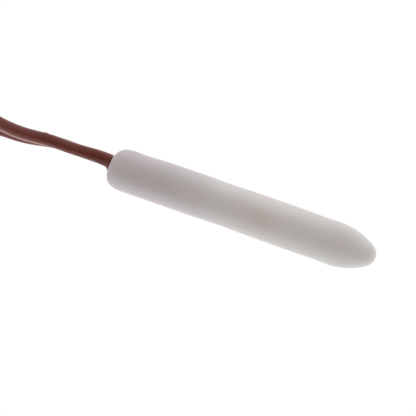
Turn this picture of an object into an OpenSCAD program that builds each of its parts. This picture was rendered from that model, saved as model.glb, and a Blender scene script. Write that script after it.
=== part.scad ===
// Bullet-nosed temperature probe with two insulated leads.
// Millimetres, +Z up. The probe lies along X with its nose towards +X and
// touches the surface z = 0. The leads leave the rear end towards -X, come down
// to the same surface and are put away in a tied hank in line with the probe.

/* [Probe body] */
// Outside diameter of the probe body
body_d = 6; // [5.8:0.1:6.6]
// Length of the probe body from the rear end to the tip of the nose
body_len = 39; // [36:1:60]
// Radius of the long curve that narrows the nose
nose_curve_r = 9.9; // [8:0.1:14]
// Radius of the tip of the nose
tip_r = 1.7; // [1.4:0.1:2.2]
// Radius of the rounded rear edge
rear_edge_r = 1.7; // [0.8:0.1:2]
// Diameter of the blind bore that holds the sensor
bore_d = 3.9; // [3.85:0.05:4.4]
// Depth from the tip of the nose to the round end of the bore
tip_wall = 2.05; // [1.8:0.05:3]

/* [Sensing element] */
// Side of the square ceramic chip
chip_side = 1; // [0.8:0.05:1.2]
// Thickness of the ceramic chip
chip_t = 0.5; // [0.4:0.05:0.6]
// Thickness of the metal film on each face of the chip
electrode_t = 0.05; // [0.03:0.01:0.08]
// Radius of the resin bead round the chip
bead_r = 0.95; // [0.9:0.05:1.2]
// Diameter of the fine wires on the chip
fine_wire_d = 0.3; // [0.2:0.02:0.32]

/* [Leads] */
// Outside diameter of a lead's insulation
lead_d = 1.7; // [1.6:0.05:1.7]
// Diameter of a lead's stranded conductor
conductor_d = 0.76; // [0.6:0.02:0.9]
// Length of insulated lead held inside the probe body
lead_inside = 12; // [8:1:14]
// Diameter of the ferrule that joins a conductor to its fine wire
ferrule_d = 1.24; // [1.1:0.02:1.3]
// Outside diameter of the sleeve over each joint
sleeve_d = 1.66; // [1.5:0.02:1.7]
// Bare length at each lead's free end
tip_len = 5; // [4:1:6]

/* [Hank] */
// Radius of the round ends of the hank
hank_end_r = 7.8; // [7.6:0.1:9]
// Distance between the centres of the two round ends
hank_span = 19.2; // [19:0.2:24]
// Height of the hank
hank_h = 7.3; // [7:0.1:8]
// Half of the hank's width at its waist
waist_half = 4.3; // [4.2:0.1:5]
// Width of the tie along the hank
tie_w = 3; // [2:0.5:4]
// Thickness of the tie
tie_t = 0.45; // [0.3:0.05:0.6]

/* [Hidden] */
$fn = 96;
axis_z = body_d / 2;
rear_x = -body_len / 2;
nose_x = body_len / 2;

// nose: the long curve is tangent to the cylinder at nose_h and to the tip's
// sphere at blend_h, both heights measured from the rear end
nose_off = nose_curve_r - body_d / 2;
nose_h = body_len - tip_r - sqrt(pow(nose_curve_r - tip_r, 2) - pow(nose_off, 2));
blend_h = nose_h + (body_len - tip_r - nose_h) * nose_curve_r / (nose_curve_r - tip_r);
bore_end_h = body_len - tip_wall - bore_d / 2;

// the two leads lie one above the other in the bore, slightly off its middle
lead_a_yz = [-0.05, axis_z + 1.02];
lead_b_yz = [0.77, axis_z - 0.54];

// joints inside, measured from the rear end
strip_x = rear_x + lead_inside;
ferrule_x0 = strip_x + 2.5;
ferrule_x1 = strip_x + 6.5;
conductor_x1 = strip_x + 4.4;
fine_x0 = strip_x + 5.1;
sleeve_x1 = strip_x + 8.5;

// chip, measured from the nose
chip_x0 = nose_x - 4.95;
chip_x1 = chip_x0 + chip_side;
fine_off = chip_t / 2 + electrode_t + fine_wire_d / 2;
fine_x1 = chip_x1 - 0.1;
bead_x0 = chip_x0 - 0.15;
bead_x1 = chip_x1 + 0.15;

// routes of the leads: distance behind the rear end, y, z
lead_a_route = [[0, -0.05, 4.02], [3.5, 0, 3.9], [7, 0.15, 3.45], [10.5, 0.5, 3.05], [14, 0.4, 2.8], [17.5, 0.65, 2.65], [21, 1.6, 2.5], [25, 2.45, 1.05]];
lead_b_route = [[0, 0.77, 2.46], [3.5, 1.15, 2.25], [7, 1.6, 1.7], [10.5, 1.9, 1.15], [14, 1.25, 0.9], [17.5, 1.1, 0.87], [21, 0.75, 0.87], [25, 0.25, 0.87]];

// hank: round ends, waist between them, flat where the leads go in
hank_face_x = rear_x - 25;
hank_near_x = rear_x - 32.3;
hank_far_x = hank_near_x - hank_span;
hank_mid_x = hank_near_x - hank_span / 2;
waist_r = 8;
// tracks that the free ends follow on top of the hank
tip_z = 6.1;
track_a_r = 6.95;
track_b_r = 9.72;
track_b_y = -11.42;

// a straight rod along X
module rod_x(x0, x1, d, yz) {
    translate([x0, yz[0], yz[1]]) rotate([0, 90, 0]) cylinder(d = d, h = x1 - x0);
}

// a straight rod between any two points
module rod(p, q, d) {
    v = q - p;
    translate(p) rotate([0, acos(v[2] / norm(v)), atan2(v[1], v[0])]) cylinder(d = d, h = norm(v));
}

// turns a shape made round Z, rear end at 0, into the probe's place
module on_axis() {
    translate([rear_x, 0, axis_z]) rotate([0, 90, 0]) children();
}

// half section of the probe's outer shape
module outer_half() {
    intersection() {
        union() {
            square([body_d / 2 - rear_edge_r, nose_h]);
            translate([0, rear_edge_r]) square([body_d / 2, nose_h - rear_edge_r]);
            translate([body_d / 2 - rear_edge_r, rear_edge_r]) circle(r = rear_edge_r);
            intersection() {
                translate([-nose_off, nose_h]) circle(r = nose_curve_r, $fn = 256);
                translate([0, nose_h]) square([body_d / 2, blend_h - nose_h]);
            }
            intersection() {
                translate([0, body_len - tip_r]) circle(r = tip_r);
                translate([0, blend_h]) square([body_d, body_len - blend_h + 1]);
            }
        }
        square([body_d, body_len + 1]);
    }
}

// half section of the bore
module bore_half(below = 0) {
    translate([0, -below]) square([bore_d / 2, bore_end_h + below]);
    intersection() {
        translate([0, bore_end_h]) circle(d = bore_d);
        translate([0, bore_end_h]) square([bore_d, bore_d]);
    }
}

module fine_path(s, yz, extra = 0) {
    a = [fine_x0, yz[0], yz[1]];
    b = [fine_x1, 0, axis_z + s * fine_off];
    rod(a, b, fine_wire_d);
}

module chip_block() {
    translate([chip_x0, -chip_side / 2, axis_z - chip_t / 2]) cube([chip_side, chip_side, chip_t]);
}

module electrode_block(s) {
    translate([chip_x0 + 0.05, -chip_side / 2 + 0.05, axis_z + (s > 0 ? chip_t / 2 : -chip_t / 2 - electrode_t)])
        cube([chip_side - 0.1, chip_side - 0.1, electrode_t]);
}

// mound of solder round the end of a fine wire, flat on its electrode
module solder_block(s) {
    intersection() {
        rod_x(chip_x0 + 0.08, chip_x1 - 0.02, 0.64, [0, axis_z + s * fine_off]);
        translate([chip_x0 - 1, -2, s > 0 ? axis_z + chip_t / 2 + electrode_t : axis_z - chip_t / 2 - electrode_t - 2]) cube([4, 4, 2]);
    }
}

module housing() {
    color("whitesmoke") on_axis() rotate_extrude() difference() {
        outer_half();
        bore_half(1);
    }
}

module potting() {
    color("gainsboro") difference() {
        on_axis() rotate_extrude() intersection() {
            outer_half();
            bore_half();
        }
        rod_x(rear_x - 1, strip_x, lead_d, lead_a_yz);
        rod_x(rear_x - 1, strip_x, lead_d, lead_b_yz);
        rod_x(strip_x - 0.5, sleeve_x1, sleeve_d, lead_a_yz);
        rod_x(strip_x - 0.5, sleeve_x1, sleeve_d, lead_b_yz);
        fine_path(1, lead_a_yz);
        fine_path(-1, lead_b_yz);
        bead_shape();
    }
}

module bead_shape() {
    translate([bead_x0, 0, axis_z]) rotate([0, 90, 0]) rotate_extrude() intersection() {
        union() {
            circle(r = bead_r);
            translate([0, bead_x1 - bead_x0]) circle(r = bead_r);
            square([bead_r, bead_x1 - bead_x0]);
        }
        translate([0, -2]) square([4, 8]);
    }
}

module resin_bead() {
    color("black") difference() {
        bead_shape();
        chip_block();
        electrode_block(1);
        electrode_block(-1);
        solder_block(1);
        solder_block(-1);
        fine_path(1, lead_a_yz);
        fine_path(-1, lead_b_yz);
    }
}

module thermistor_chip() { color("dimgray") chip_block(); }
module electrode_upper() { color("silver") electrode_block(1); }
module electrode_lower() { color("silver") electrode_block(-1); }

module solder_upper() {
    color("lightgray") difference() {
        solder_block(1);
        fine_path(1, lead_a_yz);
    }
}

module solder_lower() {
    color("lightgray") difference() {
        solder_block(-1);
        fine_path(-1, lead_b_yz);
    }
}

module fine_wire_a() { color("silver") fine_path(1, lead_a_yz); }
module fine_wire_b() { color("silver") fine_path(-1, lead_b_yz); }

module ferrule(s, yz) {
    color("silver") difference() {
        rod_x(ferrule_x0, ferrule_x1, ferrule_d, yz);
        rod_x(ferrule_x0 - 1, conductor_x1, conductor_d, yz);
        fine_path(s, yz);
    }
}

module ferrule_a() { ferrule(1, lead_a_yz); }
module ferrule_b() { ferrule(-1, lead_b_yz); }

module sleeve(s, yz) {
    color("black") difference() {
        rod_x(strip_x, sleeve_x1, sleeve_d, yz);
        rod_x(strip_x - 1, ferrule_x0 + 0.5, conductor_d, yz);
        rod_x(ferrule_x0, ferrule_x1, ferrule_d, yz);
        fine_path(s, yz);
    }
}

module sleeve_a() { sleeve(1, lead_a_yz); }
module sleeve_b() { sleeve(-1, lead_b_yz); }

module conductor_a() { color("silver") rod_x(rear_x, conductor_x1, conductor_d, lead_a_yz); }
module conductor_b() { color("silver") rod_x(rear_x, conductor_x1, conductor_d, lead_b_yz); }

module inner_lead(yz) {
    color([0.36, 0.19, 0.16]) difference() {
        rod_x(rear_x, strip_x, lead_d, yz);
        rod_x(rear_x - 1, strip_x + 1, conductor_d, yz);
    }
}

module inner_lead_a() { inner_lead(lead_a_yz); }
module inner_lead_b() { inner_lead(lead_b_yz); }

// eight-sided tube along a route, square to X at both ends
function along(route, i) = [rear_x - route[i][0], route[i][1], route[i][2]];
function heading(p, i) = let (n = len(p) - 1, v = (i == 0 || i == n) ? [-1, 0, 0] : p[i + 1] - p[i - 1]) v / norm(v);
function ring(c, t, r) = let (s = cross(t, [0, 0, 1]) / norm(cross(t, [0, 0, 1])), u = cross(s, t))
    [for (k = [0:7]) c + r * (cos(45 * k) * s + sin(45 * k) * u)];

module tube(route) {
    p = [for (i = [0:len(route) - 1]) along(route, i)];
    n = len(p);
    points = [for (i = [0:n - 1]) each ring(p[i], heading(p, i), lead_d / 2)];
    sides = [for (i = [0:n - 2], k = [0:7]) let (a = 8 * i + k, b = 8 * i + (k + 1) % 8) each [[a, b, b + 8], [a, b + 8, a + 8]]];
    first = [[for (k = [7:-1:0]) k]];
    last = [[for (k = [0:7]) 8 * (n - 1) + k]];
    polyhedron(points = points, faces = concat(first, sides, last), convexity = 4);
}

module lead_a() { color([0.36, 0.19, 0.16]) tube(lead_a_route); }
module lead_b() { color([0.36, 0.19, 0.16]) tube(lead_b_route); }

module hank_outline() {
    difference() {
        union() {
            translate([hank_near_x, 0]) circle(r = hank_end_r);
            translate([hank_far_x, 0]) circle(r = hank_end_r);
            translate([hank_far_x, -6.5]) square([hank_span, 13]);
        }
        for (s = [-1, 1]) translate([hank_mid_x, s * (waist_half + waist_r)]) circle(r = waist_r);
        translate([hank_face_x, -hank_end_r]) square([hank_end_r, 2 * hank_end_r]);
    }
}

module lead_hank() {
    color([0.36, 0.19, 0.16]) difference() {
        linear_extrude(hank_h) hank_outline();
        // seat of the tie, under the hank and on both sides
        translate([hank_mid_x - tie_w / 2, -waist_half - 2, -1]) cube([tie_w, 2 * waist_half + 4, 1 + tie_t]);
        for (s = [-1, 1]) translate([hank_mid_x - tie_w / 2, s * (waist_half + 2) - 2, -1]) cube([tie_w, 4, hank_h + 2]);
        // open channels in which the bare ends lie
        translate([hank_far_x, 0, 0]) rotate([0, 0, 60]) rotate_extrude(angle = tip_len / track_a_r * 180 / PI + 3)
            translate([track_a_r - 0.5, tip_z - 0.6]) square([1, 3]);
        translate([hank_mid_x, track_b_y, 0]) rotate([0, 0, 75 - tip_len / track_b_r * 180 / PI - 3]) rotate_extrude(angle = tip_len / track_b_r * 180 / PI + 3)
            translate([track_b_r - 0.5, tip_z - 0.6]) square([1, 3]);
    }
}

// flat band round the waist with its ends twisted together on top
module hank_tie() {
    color("ghostwhite") union() {
        difference() {
            translate([hank_mid_x - tie_w / 2, -waist_half - tie_t, 0]) cube([tie_w, 2 * (waist_half + tie_t), hank_h + tie_t]);
            translate([hank_mid_x - tie_w / 2 - 1, -waist_half, tie_t]) cube([tie_w + 2, 2 * waist_half, hank_h - tie_t]);
        }
        rod_x(hank_mid_x - 0.5, hank_mid_x + 5.5, 1, [0, hank_h + 0.6]);
    }
}

module bare_end_a() {
    color("silver") translate([hank_far_x, 0, tip_z]) rotate([0, 0, 60]) rotate_extrude(angle = tip_len / track_a_r * 180 / PI)
        translate([track_a_r, 0]) circle(d = conductor_d, $fn = 32);
}

module bare_end_b() {
    color("silver") translate([hank_mid_x, track_b_y, tip_z]) rotate([0, 0, 75 - tip_len / track_b_r * 180 / PI]) rotate_extrude(angle = tip_len / track_b_r * 180 / PI)
        translate([track_b_r, 0]) circle(d = conductor_d, $fn = 32);
}

housing();
potting();
thermistor_chip();
electrode_upper();
electrode_lower();
solder_upper();
solder_lower();
resin_bead();
fine_wire_a();
fine_wire_b();
ferrule_a();
ferrule_b();
sleeve_a();
sleeve_b();
conductor_a();
conductor_b();
inner_lead_a();
inner_lead_b();
lead_a();
lead_b();
lead_hank();
hank_tie();
bare_end_a();
bare_end_b();
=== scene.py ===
"""Bullet-nosed white temperature probe with two brown leads, lying on a light floor.

Lengths in the tables below are millimetres in the part's own frame: the probe
lies along X, its nose towards +X, and touches the surface z = 0. Everything is
turned into metres when a mesh is made.
"""

import math

import bmesh
import bpy
import numpy as np
from mathutils import Matrix, Vector


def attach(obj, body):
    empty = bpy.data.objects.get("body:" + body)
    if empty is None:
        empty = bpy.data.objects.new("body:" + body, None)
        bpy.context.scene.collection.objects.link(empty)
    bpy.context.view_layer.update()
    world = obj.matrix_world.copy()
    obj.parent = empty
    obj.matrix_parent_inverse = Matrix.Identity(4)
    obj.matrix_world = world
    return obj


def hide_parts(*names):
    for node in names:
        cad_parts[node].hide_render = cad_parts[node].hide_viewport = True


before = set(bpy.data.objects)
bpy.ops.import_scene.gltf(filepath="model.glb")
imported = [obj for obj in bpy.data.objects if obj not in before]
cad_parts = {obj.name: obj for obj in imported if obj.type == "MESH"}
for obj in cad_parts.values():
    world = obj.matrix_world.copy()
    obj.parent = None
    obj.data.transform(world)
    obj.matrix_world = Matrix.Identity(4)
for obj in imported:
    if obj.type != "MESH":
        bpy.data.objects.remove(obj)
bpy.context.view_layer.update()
scene = bpy.context.scene
MM = 0.001

# ---------------------------------------------------------------- small tools


def smooth(a, b, x):
    """0 before a, 1 after b, and a soft step between."""
    t = np.clip((np.asarray(x, float) - a) / (b - a), 0, 1)
    return t * t * (3 - 2 * t)


def make_mesh(name, points_mm, faces, sharp_deg=40.0, rest=None):
    """An object from points in millimetres, smooth apart from its sharp edges."""
    mesh = bpy.data.meshes.new(name)
    mesh.from_pydata([tuple(p) for p in np.asarray(points_mm, float) * MM], [], faces)
    mesh.validate()
    mesh.update()
    mesh.polygons.foreach_set("use_smooth", [True] * len(mesh.polygons))
    mesh.set_sharp_from_angle(angle=math.radians(sharp_deg))
    if rest is not None:
        layer = mesh.attributes.new("rest", "FLOAT_VECTOR", "POINT")
        layer.data.foreach_set("vector", (np.asarray(rest, float) * MM).ravel())
    obj = bpy.data.objects.new(name, mesh)
    scene.collection.objects.link(obj)
    return obj


def arc_lengths(line):
    return np.concatenate([[0], np.cumsum(np.linalg.norm(np.diff(line, axis=0), axis=1))])


def respaced(line, step):
    """The line again with even steps, and its length kept."""
    s = arc_lengths(line)
    at = np.linspace(0, s[-1], max(2, int(round(s[-1] / step)) + 1))
    return np.stack([np.interp(at, s, line[:, k]) for k in range(3)], axis=1)


def softened(line, sigma, step):
    """The line with its corners eased; its ends stay where they are."""
    half = int(3 * sigma / step)
    w = np.exp(-0.5 * (np.arange(-half, half + 1) * step / sigma) ** 2)
    w /= w.sum()
    before = 2 * line[0] - line[half:0:-1]
    after = 2 * line[-1] - line[-2 : -half - 2 : -1]
    padded = np.vstack([before, line, after])
    return np.stack([np.convolve(padded[:, k], w, mode="valid") for k in range(3)], axis=1)


def natural_spline(xs, ys, at, first=None, last=None):
    """Cubic spline through the points, with given end slopes or free ends."""
    xs, ys = np.asarray(xs, float), np.asarray(ys, float)
    n, h = len(xs), np.diff(xs)
    m, r = np.zeros((n, n)), np.zeros(n)
    for i in range(1, n - 1):
        m[i, i - 1], m[i, i], m[i, i + 1] = h[i - 1], 2 * (h[i - 1] + h[i]), h[i]
        r[i] = 6 * ((ys[i + 1] - ys[i]) / h[i] - (ys[i] - ys[i - 1]) / h[i - 1])
    if first is None:
        m[0, 0] = 1
    else:
        m[0, 0], m[0, 1], r[0] = 2 * h[0], h[0], 6 * ((ys[1] - ys[0]) / h[0] - first)
    if last is None:
        m[-1, -1] = 1
    else:
        m[-1, -1], m[-1, -2], r[-1] = 2 * h[-1], h[-1], 6 * (last - (ys[-1] - ys[-2]) / h[-1])
    k = np.linalg.solve(m, r)
    i = np.clip(np.searchsorted(xs, at) - 1, 0, n - 2)
    a, b, w = xs[i + 1] - at, at - xs[i], h[i]
    return (
        (k[i] * a**3 + k[i + 1] * b**3) / (6 * w)
        + (ys[i] / w - k[i] * w / 6) * a
        + (ys[i + 1] / w - k[i + 1] * w / 6) * b
    )


def frames_along(line, side):
    """Tangents and two cross directions that turn as little as possible."""
    t = np.gradient(line, axis=0)
    t /= np.linalg.norm(t, axis=1)[:, None]
    u = np.zeros_like(t)
    first = np.asarray(side, float)
    first = first - (first @ t[0]) * t[0]
    u[0] = first / np.linalg.norm(first)
    for i in range(1, len(line)):
        v = u[i - 1] - (u[i - 1] @ t[i]) * t[i]
        u[i] = v / np.linalg.norm(v)
    return t, u, np.cross(t, u)


# -------------------------------------------------------------------- camera

AZ, EL, DIST, FOCAL_PX = math.radians(24.72), math.radians(50.0), 280.0, 2058.0
back = Vector((math.sin(AZ) * math.cos(EL), -math.cos(AZ) * math.cos(EL), math.sin(EL)))
right = Vector((math.cos(AZ), math.sin(AZ), 0.0))
upward = back.cross(right)
aim = Vector((0, 0, 3.0)) - right * 4.642 + upward * 0.418
cam_data = bpy.data.cameras.new("view_camera")
cam_data.sensor_fit = "AUTO"
cam_data.sensor_width = 36.0
cam_data.lens = 36.0 * FOCAL_PX / 416.0
cam_data.clip_start, cam_data.clip_end = 0.005, 20.0
camera = bpy.data.objects.new("view_camera", cam_data)
camera.matrix_world = Matrix(
    [[right[k], upward[k], back[k], (aim[k] + back[k] * DIST) * MM] for k in range(3)] + [[0, 0, 0, 1]]
)
scene.collection.objects.link(camera)
scene.camera = camera

# --------------------------------------------------------------------- leads

LEAD_R = 0.85
REAR_X, NOSE_X = -19.5, 19.5
# distance behind the rear end, y, z of each lead until it reaches the hank
LEAD_A = [
    (0, -0.05, 4.02), (2, 0.03, 3.99), (4, 0.00, 3.84), (6, 0.07, 3.60), (8, 0.27, 3.33),
    (10, 0.49, 3.10), (12, 0.47, 2.92), (14, 0.39, 2.78), (16, 0.48, 2.68), (18, 0.73, 2.62),
    (20, 1.20, 2.60), (22, 2.04, 2.25), (24, 2.44, 1.30), (26, 2.47, 0.87), (28, 2.45, 0.86),
    (32, 2.72, 0.86), (36, 3.06, 0.86), (39, 3.32, 0.86), (41.9, 3.45, 0.86),
]
LEAD_B = [
    (0, 0.77, 2.46), (2, 1.00, 2.42), (4, 1.19, 2.20), (6, 1.42, 1.86), (8, 1.75, 1.52),
    (10, 1.93, 1.22), (12, 1.67, 1.02), (14, 1.26, 0.91), (16, 1.08, 0.87), (18, 1.06, 0.87),
    (20, 0.93, 0.87), (22, 0.52, 0.87), (24, 0.28, 0.87), (26, 0.24, 0.87), (28, 0.36, 0.86),
    (32, 0.80, 0.86), (36, 1.26, 0.86), (39, 1.57, 0.86), (41.9, 1.70, 0.86),
]
# hank: centres of its round ends and waist, and the tracks of the two leads
NEAR_X, FAR_X, MID_X = -51.8, -71.0, -61.4
WAIST_Y = 11.42
WAIST_TURN = 49.95
TRACKS = {"a": (6.95, 7.97), "b": (5.20, 9.72)}
PITCH_Z = 1.72
FLOOR_Z = 0.86
# each loop of the hank lies a little differently
LOOP_FAR = [0.00, 0.30, 0.12, 0.38, 0.20]
LOOP_NEAR = [0.00, 0.22, 0.46, 0.15, 0.30]


def arc(cx, cy, r, start, end, level0, level1, rise=None):
    """Points of a turn in plan, with the level it lies on."""
    n = max(8, int(abs(math.radians(end - start)) * r / 0.25))
    a = np.linspace(start, end, n)
    if rise is None:
        level = level0 + (level1 - level0) * np.linspace(0, 1, n)
    else:
        level = level0 + (level1 - level0) * smooth(rise[0], rise[1], a)
    rad = np.radians(a)
    return np.stack([cx + r * np.cos(rad), cy + r * np.sin(rad), level], axis=1)


def winding(track, turns_to):
    """The hank's track from its waist on the +Y side, until an arc-length is passed."""
    end_r, waist_r = TRACKS[track]
    b = WAIST_TURN
    parts, level, total = [], 0, 0.0
    while total < turns_to:
        lap = [
            arc(MID_X, WAIST_Y, waist_r, -90, -90 - (90 - b), level, level),
            arc(FAR_X, 0, end_r, b, 360 - b, level, level),
            arc(MID_X, -WAIST_Y, waist_r, 180 - b, b, level, level),
            arc(NEAR_X, 0, end_r, b - 180, 180 - b, level, level + 1, rise=(-125, -14)),
            arc(MID_X, WAIST_Y, waist_r, -b, -90, level + 1, level + 1),
        ]
        for p in lap:
            parts.append(p if not parts else p[1:])
        level += 1
        total = arc_lengths(np.vstack(parts)[:, :2]).max()
    return np.vstack(parts)


def lead_line(points, track, wound):
    """The whole centre line of one lead with its bare end, in millimetres."""
    p = np.array(points, float)
    at = np.linspace(0, p[-1, 0], 240)
    y = natural_spline(p[:, 0], p[:, 1], at, first=0.04, last=0.0)
    z = natural_spline(p[:, 0], p[:, 2], at, first=0.0, last=0.0)
    visible = np.stack([REAR_X - at, y, z], axis=1)
    w = winding(track, wound)
    plan, level = w[:, :2].copy(), w[:, 2]
    far = np.interp(level, range(len(LOOP_FAR)), LOOP_FAR) * smooth(MID_X - 2.6, FAR_X - 0.5, plan[:, 0])
    near = np.interp(level, range(len(LOOP_NEAR)), LOOP_NEAR) * smooth(MID_X + 2.6, NEAR_X + 0.3, plan[:, 0])
    plan[:, 0] += far - near
    hank = np.stack([plan[:, 0], plan[:, 1], FLOOR_Z + PITCH_Z * level], axis=1)
    line = np.vstack([visible, hank[1:]])
    # the tie passes under the leads at the waist and lifts them
    line[:, 2] += 0.44 * (1 - smooth(1.7, 5.5, np.abs(line[:, 0] - MID_X))) * (line[:, 0] < NEAR_X + 2)
    line = softened(respaced(line, 0.1), 0.8, 0.1)
    # small waves left by handling, well under the gap between runs
    s = arc_lengths(line)
    calm = smooth(48, 62, s)
    phase = 0.0 if track == "a" else 1.9
    line[:, 2] += calm * 0.010 * (1 + np.sin(s / 6.1 + phase))
    line[:, 2] = np.maximum(line[:, 2], FLOOR_Z)
    return line


STRIP_A = 60.0  # angle on the far end at which lead A's insulation stops
STRIP_B = 75.0  # angle on the waist at which lead B's insulation stops
BARE_LEN = 5.0


def cut_at(line, near, after):
    """Splits the line at its point nearest to a place, beyond an arc-length."""
    s = arc_lengths(line)
    d = np.linalg.norm(line[:, :2] - np.array(near), axis=1) + 100 * (s < after)
    i = int(np.argmin(d))
    j = int(np.searchsorted(s, s[i] + BARE_LEN))
    return line[: i + 1], line[i : j + 1]


full_a = lead_line(LEAD_A, "a", 285)
full_b = lead_line(LEAD_B, "b", 285)
place_a = (FAR_X + 6.95 * math.cos(math.radians(STRIP_A)), 6.95 * math.sin(math.radians(STRIP_A)))
place_b = (MID_X + 9.72 * math.cos(math.radians(STRIP_B)), -WAIST_Y + 9.72 * math.sin(math.radians(STRIP_B)))
line_a, bare_a = cut_at(full_a, place_a, 280)
line_b, bare_b = cut_at(full_b, place_b, 280)


# the two leads were pulled apart from one flat pair: each keeps a low torn
# ridge along the side that faced the other, from TORN_FROM on
TORN_FROM = 8.6
TORN = {"a": math.radians(232.7), "b": math.radians(52.7)}


def insulation(name, line, torn, ridge, bump=None):
    """A round tube along a lead, with the slight unevenness of extruded plastic,
    its torn ridge, a soft edge at the cut end, and the way along it kept for its
    material, with the ridge at angle 0."""
    line = respaced(line, 0.1)
    s = arc_lengths(line)
    t, u, v = frames_along(line, (0, 0, 1))
    turn = np.radians([0, 2.5, 5, 7.5, 11, *range(18, 350, 9), 352.5, 355, 357.5])
    turn = turn[np.r_[True, np.diff(turn) > 0.02]]
    sides, ang = len(turn), turn + torn
    # a ring at every half millimetre, closer round the nub
    keep = (np.arange(len(line)) % 5 == 0) & (s < s[-1] - 0.3)
    if bump is not None:
        keep |= np.abs(s - bump[0]) < 0.6
    base = [(line[i], u[i], v[i], LEAD_R * (1 + 0.006 * math.sin(s[i] / 3.7) + 0.004 * math.sin(s[i] / 1.3)), s[i]) for i in np.flatnonzero(keep)]
    # three close rings at the end make the rounded cut
    for o, c in zip([0.10, 0.03, 0.0], [0.0, 0.03, 0.10], strict=True):
        base.append((line[-1] - t[-1] * o, u[-1], v[-1], LEAD_R - c, s[-1] - o))
    rings, rest = [], []
    for c, a, b, r, at in base:
        rr = np.full(sides, r)
        low = ridge * (0.92 + 0.08 * math.sin(at * 2.3) * math.sin(at * 0.9 + 1)) * float(smooth(TORN_FROM, TORN_FROM + 3, at))
        low *= (1 + 0.45 * float(smooth(10, 17, at))) * (1 - 0.75 * float(smooth(24, 34, at)))
        rr = rr + low * np.exp(-0.5 * (np.angle(np.exp(1j * turn)) / math.radians(3.6)) ** 2)
        if bump is not None:
            where, angle, height, spread = bump
            d = np.hypot(at - where, LEAD_R * (np.angle(np.exp(1j * (ang - angle)))))
            rr = rr + height * np.exp(-0.5 * (d / spread) ** 2)
        rings.append(c + np.cos(ang)[:, None] * rr[:, None] * a + np.sin(ang)[:, None] * rr[:, None] * b)
        rest.append(np.stack([np.cos(turn) * r, np.sin(turn) * r, np.full(sides, at)], axis=1))
    n, count = sides, len(rings)
    faces = [
        (i * n + k, i * n + (k + 1) % n, (i + 1) * n + (k + 1) % n, (i + 1) * n + k)
        for i in range(count - 1)
        for k in range(n)
    ]
    faces += [tuple(range(n - 1, -1, -1)), tuple((count - 1) * n + k for k in range(n))]
    obj = make_mesh(name, np.vstack(rings), faces, sharp_deg=55, rest=np.vstack(rest))
    return obj, np.array([b[0] for b in base])


# a small nub stands on the far side of lead A about half way along its first
# free stretch
wire_a, centres_a = insulation("lead_a_wire", line_a, TORN["a"], 0.135, bump=(11.1, math.radians(52.7), 0.075, 0.17))
wire_b, centres_b = insulation("lead_b_wire", line_b, TORN["b"], 0.05)


def strands(name, line, seed):
    """Seven tinned strands with a long lay, slightly opened at the tip."""
    line = respaced(line, 0.2)
    s = arc_lengths(line)
    t, u, v = frames_along(line, (0, 0, 1))
    sides, r, points, faces, rest = 12, 0.127, [], [], []
    ang = np.arange(sides) * 2 * math.pi / sides
    for k in range(7):
        if k == 0:
            mid = line.copy()
            cut = len(line)
        else:
            a = 2 * math.pi * (k / 6 + s / 11.0) + seed
            spread = 0.252 + 0.11 * smooth(s[-1] - 1.6, s[-1], s) * (0.4 + 0.6 * ((k * 37 + 11) % 7) / 6)
            mid = line + (np.cos(a) * spread)[:, None] * u + (np.sin(a) * spread)[:, None] * v
            cut = len(line) - (k * 5 + 3) % 3
        mid = mid[:cut]
        tt, uu, vv = frames_along(mid, (0, 0, 1))
        ends = [(mid[i], uu[i], vv[i], r, s[i]) for i in range(len(mid))]
        ends.append((mid[-1] + tt[-1] * 0.03, uu[-1], vv[-1], r * 0.72, s[cut - 1] + 0.03))
        base = len(points)
        for c, a1, b1, rr, at in ends:
            for q in ang:
                points.append(c + rr * (math.cos(q) * a1 + math.sin(q) * b1))
                rest.append((rr * math.cos(q) + k, rr * math.sin(q), at))
        count = len(ends)
        faces += [
            tuple(base + x for x in (i * sides + j, i * sides + (j + 1) % sides, (i + 1) * sides + (j + 1) % sides, (i + 1) * sides + j))
            for i in range(count - 1)
            for j in range(sides)
        ]
        faces.append(tuple(base + j for j in range(sides - 1, -1, -1)))
        faces.append(tuple(base + (count - 1) * sides + j for j in range(sides)))
    return make_mesh(name, np.array(points), faces, sharp_deg=60, rest=np.array(rest))


strands_a = strands("bare_end_a_strands", bare_a, 0.3)
strands_b = strands("bare_end_b_strands", bare_b, 1.1)

for piece, nodes in ((wire_a, ("lead_a", "lead_hank")), (wire_b, ("lead_b", "lead_hank")), (strands_a, ("bare_end_a",)), (strands_b, ("bare_end_b",))):
    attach(piece, "root")
    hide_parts(*nodes)

# ----------------------------------------------------------------- the probe

BODY_R = 3.0
AXIS_Z = 3.0
EDGE_RADIAL, EDGE_AXIAL = 1.15, 2.28
NOSE_LEN, NOSE_R, TIP_R = 6.12, 9.89, 1.71
BORE_R, BORE_END = 1.95, 17.45
REAR_TILT = 0.0654  # the rear end isn't quite square to the axis


def rear_depth(r):
    """How far the rear surface lies in front of its flat middle at a radius."""
    q = np.clip((np.asarray(r, float) - (BODY_R - EDGE_RADIAL)) / EDGE_RADIAL, 0, 1)
    return EDGE_AXIAL * (1 - np.sqrt(np.maximum(0, 1 - q * q)))


def bell(x, middle, width):
    return np.exp(-0.5 * ((x - middle) / width) ** 2)


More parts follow.
